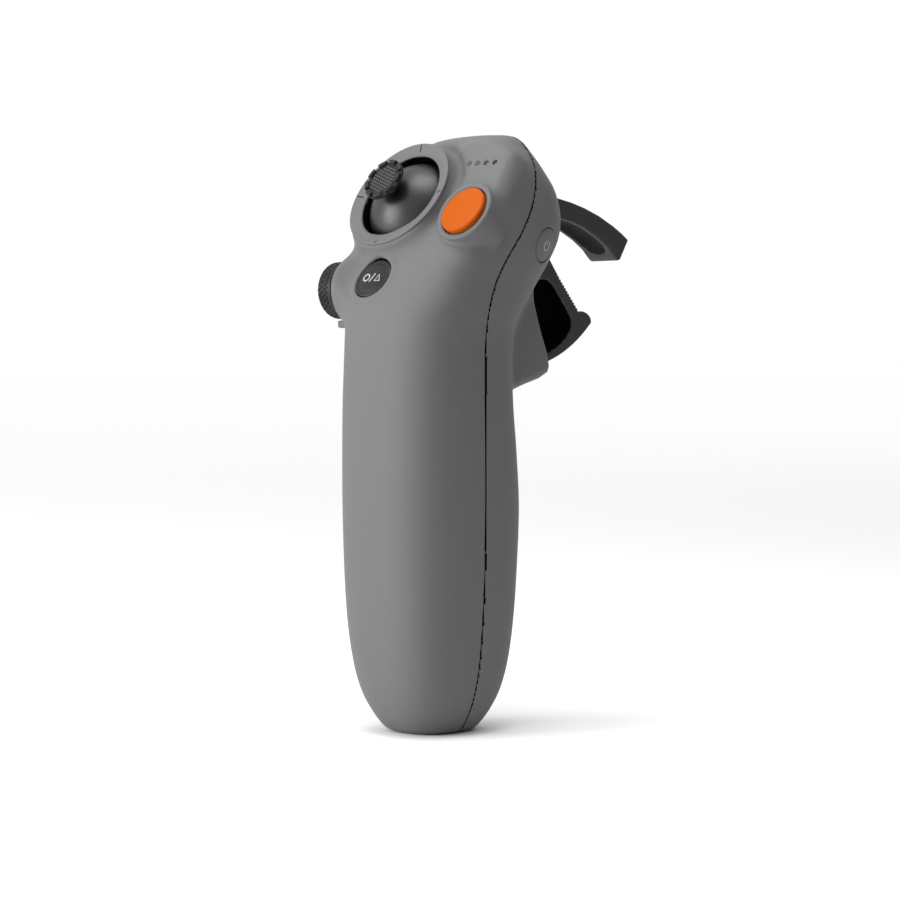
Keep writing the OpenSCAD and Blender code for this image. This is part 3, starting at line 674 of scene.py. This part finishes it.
def strokes(lines, width, z0, z1):
    """flat bars with chamfered tops along each 2-D polyline"""
    P, Q = [], []
    for pts in lines:
        pts = [np.array(p, float) for p in pts]
        n = len(pts)
        closed = np.allclose(pts[0], pts[-1])
        rings = []
        for i in range(n):
            a = pts[i - 1] if i > 0 else (pts[-2] if closed else pts[0])
            b = pts[i + 1] if i < n - 1 else (pts[1] if closed else pts[-1])
            d = (b - a) / np.linalg.norm(b - a)
            nrm = np.array([-d[1], d[0]])
            rings.append(len(P))
            w = width / 2
            for s, zz in ((w, z0), (w * 0.92, z1), (-w * 0.92, z1), (-w, z0)):
                q = pts[i] + nrm * s
                P.append((q[0], q[1], zz))
        for i in range(n - 1):
            a, b = rings[i], rings[i + 1]
            Q += [[a + k, a + (k + 1) % 4, b + (k + 1) % 4, b + k] for k in range(4)]
        if not closed:
            Q += [[rings[0] + 3, rings[0] + 2, rings[0] + 1, rings[0]], [rings[-1] + k for k in range(4)]]
    return np.array(P, float), Q


def circle_pts(cx, cy, r, a0=0, a1=360, n=32):
    return [(cx + r * math.cos(math.radians(a0 + (a1 - a0) * i / n)), cy + r * math.sin(math.radians(a0 + (a1 - a0) * i / n))) for i in range(n + 1)]


P, Q = strokes([circle_pts(-2.05, 0, 0.95), [(-0.55, -1.25), (0.55, 1.25)], [(1.15, -0.95), (2.95, -0.95), (2.05, 0.85), (1.15, -0.95)]], 0.34, -0.12, 0.05)
icon = mesh_object("mode_button_symbol", at(MODE)(P), Q, M_icon, smooth=False)
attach(icon, "mode")


def power_f(q):
    p = q @ PW + PWR
    rr = np.hypot(q[:, 0], q[:, 1])
    f = smax(outer(p) + 0.03, rr - 4.3, 0.35)
    f = np.maximum(f, -3.0 - q[:, 2])
    return np.minimum(f, np.maximum(rr - 1.4, np.abs(q[:, 2] + 3.6) - 1.0))


P, Q = net(power_f, (-5.2, -5.2, -5), (5.2, 5.2, 3.4), 0.22)
pwr = mesh_object("power_button_cap", P @ PW + PWR, Q, M_shell)
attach(pwr, "power")
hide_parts("power_button")
P, Q = strokes([circle_pts(0, -0.15, 1.25, 125, 415, 28), [(0, 0.1), (0, 1.5)]], 0.3, 0, 1)
# lay the symbol on the crowned button face
hi, lo = np.full(len(P), 3.0), np.full(len(P), -2.5)
for _ in range(30):
    mid = (hi + lo) / 2
    inside = outer(np.c_[P[:, :2], mid] @ PW + PWR) + 0.03 < 0
    lo, hi = np.where(inside, mid, lo), np.where(inside, hi, mid)
P = np.c_[P[:, :2], (lo + hi) / 2 + np.where(P[:, 2] > 0.5, 0.035, -0.08)]
icon = mesh_object("power_button_symbol", P @ PW + PWR, Q, M_icon2, smooth=False)
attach(icon, "power")

for k, c in enumerate(LED):
    top = -2.62 - 0.32
    pr = [(0, top - 3.0), (0.58, top - 3.0), (0.62, top - 2.9), (0.62, top - 0.12), (0.56, top - 0.03), (0.3, top), (0, top + 0.01)]
    P, Q = lathe(pr, 32, at((c[0], c[1], -0.16 * max(0, k - 1))))
    o = auto_sharp(mesh_object("status_light_%d" % (k + 1), P, Q, M_lens), 50)
    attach(o, "housing")

# ------------------------------------------------------------------ dial
DX, DR, DW = -27.0, 7.3, 5.2
nt_, pitch = 34, 2 * math.pi / 34
seg = 34 * 10
prof = [(2.0, 0.35), (3.4, 0.35), (3.7, 0.05), (5.6, 0.0), (6.0, 0.02)] + [(DR - 0.75 + 0.75 * math.sin(math.radians(a)) - 0.0, 0.75 - 0.75 * math.cos(math.radians(a))) for a in (20, 40, 60, 80)] + \
    [(DR, x) for x in np.linspace(0.85, 3.75, 30)] + [(DR - 0.35, 3.85), (DR - 0.35, 4.15), (DR - 0.05, 4.25), (DR - 0.05, DW - 0.35), (DR - 0.3, DW - 0.05), (DR - 0.7, DW), (2.0, DW)]
P, Q = [], []
n = len(prof)
for k, (rr, xx) in enumerate(prof):
    for i in range(seg):
        a = 2 * math.pi * i / seg
        r2 = rr
        if 0.8 < xx < 3.8 and rr > DR - 0.2:
            row = (xx - 0.85) / 0.97
            off = 0.5 * (int(math.floor(row)) % 2)
            u = abs(((a / pitch + off) % 1) - 0.5) * 2
            v = row - math.floor(row)
            # three-sided studs: wide at one end of the row, pointed at the other
            t = (1 - v) * 0.95 - u
            r2 = rr - 0.36 + 0.36 * min(1.0, max(0.0, t * 2.6))
        P.append((xx + DX, r2 * math.cos(a) - 7.0, r2 * math.sin(a) + 111.0))
for k in range(n):
    k2 = (k + 1) % n
    for i in range(seg):
        j = (i + 1) % seg
        Q.append([k * seg + i, k2 * seg + i, k2 * seg + j, k * seg + j])
dial = auto_sharp(mesh_object("dial_wheel_knurled", P, Q, M_dial), 28)
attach(dial, "dial")
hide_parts("dial_wheel")
bp = [(0, 0.62)] + [(1.9, 0.5), (2.05, 0.3), (2.05, 0.9), (0, 0.9)]
P, Q = lathe(bp, 64, lambda P: np.stack([P[:, 2] + DX, P[:, 0] - 7.0, P[:, 1] + 111.0], 1))
plug = auto_sharp(mesh_object("dial_hub_plug", P, Q, M_cap))
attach(plug, "dial")

# ------------------------------------------------------------------ rocker: trigger, web and horn


def on_arc(a, r=40.55):
    return (PIV[0] + r * math.cos(math.radians(a)), PIV[1] + r * math.sin(math.radians(a)))


front_edge = [(34.5, 124.5), (37.4, 119.8), (41.0, 115.2)]
t0, t1 = np.array([41.0, 115.2]), np.array([48.75, 106.3])
d = (t1 - t0) / np.linalg.norm(t1 - t0)
nn = np.array([-d[1], d[0]])
teeth = []
for i in range(12):
    for s, hgt in ((0.02, -0.28), (0.30, 0.12), (0.62, 0.12), (0.9, -0.28)):
        teeth.append(tuple(t0 + (t1 - t0) * (i + s) / 12 + nn * hgt))
lip = [(49.5, 105.95), (50.5, 106.1), (51.6, 105.85), (52.6, 105.4), (53.4, 104.75), (53.85, 104.0), (53.95, 103.2), (53.7, 102.7)]
LEVER = front_edge + teeth + lip + [on_arc(a) for a in np.arange(-45.5, -82, -3.0)] + [(30.6, 92.6), (29.4, 112), (27, 125)]
POCKET = smooth_poly([(28, 112.6), (33, 113.6), (35.6, 114.2), (38.0, 113.4), (40.9, 110.2), (45.3, 105.0), (46.1, 103.2), (45.7, 101.2), (44, 98.9), (41, 96.7), (36.1, 94.7), (28, 93.4)], 2)


def lever_f(p):
    x, y, z = p[:, 0], p[:, 1], p[:, 2]
    f = extrude(poly_sdf(y, z, LEVER), np.abs(x) - 5.98, 0.4)
    rp = np.hypot(y - PIV[0], z - PIV[1])
    ang = np.degrees(np.arctan2(z - PIV[1], y - PIV[0]))
    drum = np.maximum(rp - 10.9, np.maximum(-63 - ang, ang - 21.5) * math.pi / 180 * np.maximum(rp, 1))
    f = smin(f, extrude(drum, np.abs(x) - 5.98, 0.3), 0.8)
    f = np.minimum(f, extrude(rp - 6, np.abs(x) - 6.2, 0.2))
    pk = poly_sdf(y, z, POCKET)
    depth = 1.0 + 0.9 * step(pk, -2.2, -0.2)
    f = smax(f, -np.maximum(pk, depth - np.abs(x)), 0.7)
    f = np.maximum(f, -(rp - 1.55))
    return np.maximum(f, -np.maximum(rp - 4.6, 3.2 - x))


P, Q = net(lever_f, (-6.8, 18, 90), (6.8, 55, 143.5), 0.26)
lev = mesh_object("trigger_lever_body", P, Q, M_black)
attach(lev, "rocker")
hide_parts("trigger_lever")
# painted shade: faces inside the side pockets take the near-black shade material
lev.data.materials.append(M_inner_painted_shade)
c = P[Q].mean(1)
lev.data.polygons.foreach_set("material_index", ((poly_sdf(c[:, 1], c[:, 2], POCKET) < 0.1) & (np.abs(c[:, 0]) < 5.75)).astype(np.int32))


def web_f(p):
    x, y, z = p[:, 0], p[:, 1], p[:, 2]
    return extrude(poly_sdf(y, z, POCKET) + 0.05, np.abs(x) - 0.85, 0.2)


# painted shade: the web between the pockets is near-black so the hollow looks shadowed
P, Q = net(web_f, (-3.2, 27, 92), (3.2, 48, 116), 0.3)
web = mesh_object("trigger_inner_web", P, Q, M_inner_painted_shade)
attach(web, "rocker")
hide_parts("trigger_web")

HORN_TOP = [on_arc(17, 10.6), (38.5, 135.4), (41.7, 135.55), (47.4, 134.6), (52.4, 133.4), (58, 131.6), (63.8, 129.1), (67.2, 127.3), (69.9, 125.6)]
HORN_LOW = [(66.6, 120.1), (65.6, 119.85), (64.4, 120.7), (62, 122.9), (58, 125.3), (52.2, 127.9), (47.4, 129.3), (43, 130), (38, 129.6)]
HORN = HORN_TOP + [(69.8, 125.2)] + HORN_LOW + [on_arc(-14, 10.6), (33, 130)]


def horn_f(p):
    x, y, z = p[:, 0], p[:, 1], p[:, 2]
    f = extrude(poly_sdf(y, z, HORN), np.abs(x) - 4.98, 0.45)
    cut = line_dist(y, z, HORN_LOW[1:]) - 1.25 * np.clip(1 - (x / 4.2) ** 2, 0, 1) * step(-y, -66, -58)
    cut = np.maximum(cut, 39 - y)
    f = smax(f, -cut, 0.4)
    return smax(f, -(np.hypot(y - PIV[0], z - PIV[1]) - 10.3), 0.1)


P, Q = net(horn_f, (-5.6, 33, 118), (5.6, 71, 137.5), 0.26)
horn = mesh_object("reverse_horn_body", P, Q, M_black)
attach(horn, "rocker")
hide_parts("reverse_horn")
# painted shade: faces of the concave underside take the darker shade copy of the rocker material
horn.data.materials.append(M_horn_under_painted_shade)
c = P[Q].mean(1)
horn.data.polygons.foreach_set("material_index", ((line_dist(c[:, 1], c[:, 2], HORN_LOW[1:]) > 0.25) & (poly_sdf(c[:, 1], c[:, 2], HORN) < -0.2) & (np.abs(c[:, 0]) < 4.4) & (c[:, 1] > 40)).astype(np.int32))

# ------------------------------------------------------------------ finishes of the remaining nodes
# nodes with the black_inner slot take the near-black painted shade material
look = {"steel": M_steel, "board": M_board, "cell_wrap": M_cell, "clear": M_clear, "white_plastic": M_nylon, "black_inner": M_inner_painted_shade, "black": M_black,
        "shell": M_shell, "bezel": M_bezel, "orange": M_orange, "gloss_black": M_dome}
slots = {s["node"]: s["material_slot"] for s in frame["record"]["subparts"]}
for name, o in NODES.items():
    o.data.materials.clear()
    o.data.materials.append(look[slots[name]])

# ------------------------------------------------------------------ floor, light
fl = bpy.data.materials.new("floor")
fl.use_nodes = True
nt = fl.node_tree
bs = nt.nodes["Principled BSDF"]
noise = nt.nodes.new("ShaderNodeTexNoise")
noise.inputs["Scale"].default_value = 3.0
rp_ = nt.nodes.new("ShaderNodeValToRGB")
rp_.color_ramp.elements[0].color = (0.985, 0.985, 0.985, 1)
rp_.color_ramp.elements[1].color = (1, 1, 1, 1)
nt.links.new(noise.outputs["Fac"], rp_.inputs[0])
nt.links.new(rp_.outputs[0], bs.inputs["Base Color"])
bs.inputs["Roughness"].default_value = 0.9
bs.inputs["Specular IOR Level"].default_value = 0.1
S = 12.0
me = bpy.data.meshes.new("floor")
me.from_pydata([(-S, -S, -0.0002), (S, -S, -0.0002), (S, S, -0.0002), (-S, S, -0.0002)], [], [[0, 1, 2, 3]])
floor = bpy.data.objects.new("floor", me)
bpy.context.scene.collection.objects.link(floor)
me.materials.append(fl)

world = bpy.data.worlds.new("studio")
bpy.context.scene.world = world
world.use_nodes = True
bg = world.node_tree.nodes["Background"]
bg.inputs[0].default_value = (1, 1, 1, 1)
bg.inputs[1].default_value = 1.0

right = Vector((math.cos(AZ), math.sin(AZ), 0))
front_dir = Vector((back.x, back.y, 0)).normalized()


def area(name, side, fwd, up, size, power, aim=(0, 0, 0.08), size_y=None):
    d = bpy.data.lights.new(name, "AREA")
    d.energy = power
    d.size = size
    if size_y:
        d.shape = "RECTANGLE"
        d.size_y = size_y
    o = bpy.data.objects.new(name, d)
    o.location = right * side + front_dir * fwd + Vector((0, 0, up))
    o.rotation_euler = (Vector(aim) - o.location).to_track_quat("-Z", "Y").to_euler()
    bpy.context.scene.collection.objects.link(o)
    return o


area("key_left", -1.1, 0.28, 0.2, 0.62, 14.0, aim=(0, 0, 0.09), size_y=0.75)
area("top_soft", -0.02, 0.05, 0.46, 0.2, 0.95, aim=(0, 0, 0.1), size_y=0.2)
# dark studio flags on the shadow side, as used to shape a soft light
flag = material("flag_cloth", (0.08, 0.08, 0.08), rough=0.95, vary=0.1, wear=0.0, spec=0.05)
for k, (sa, fa, sb, fb_) in enumerate([(1.25, -1.1, 1.25, 1.7), (1.25, 1.7, 0.05, 1.7)]):
    a, b = right * sa + front_dir * fa, right * sb + front_dir * fb_
    me = bpy.data.meshes.new("flag")
    me.from_pydata([(a.x, a.y, 0), (b.x, b.y, 0), (b.x, b.y, 1.5), (a.x, a.y, 1.5)], [], [[0, 1, 2, 3]])
    me.materials.append(flag)
    card = bpy.data.objects.new("flag_%d" % k, me)
    card.visible_camera = False
    bpy.context.scene.collection.objects.link(card)
bpy.context.scene.view_settings.view_transform = "Standard"
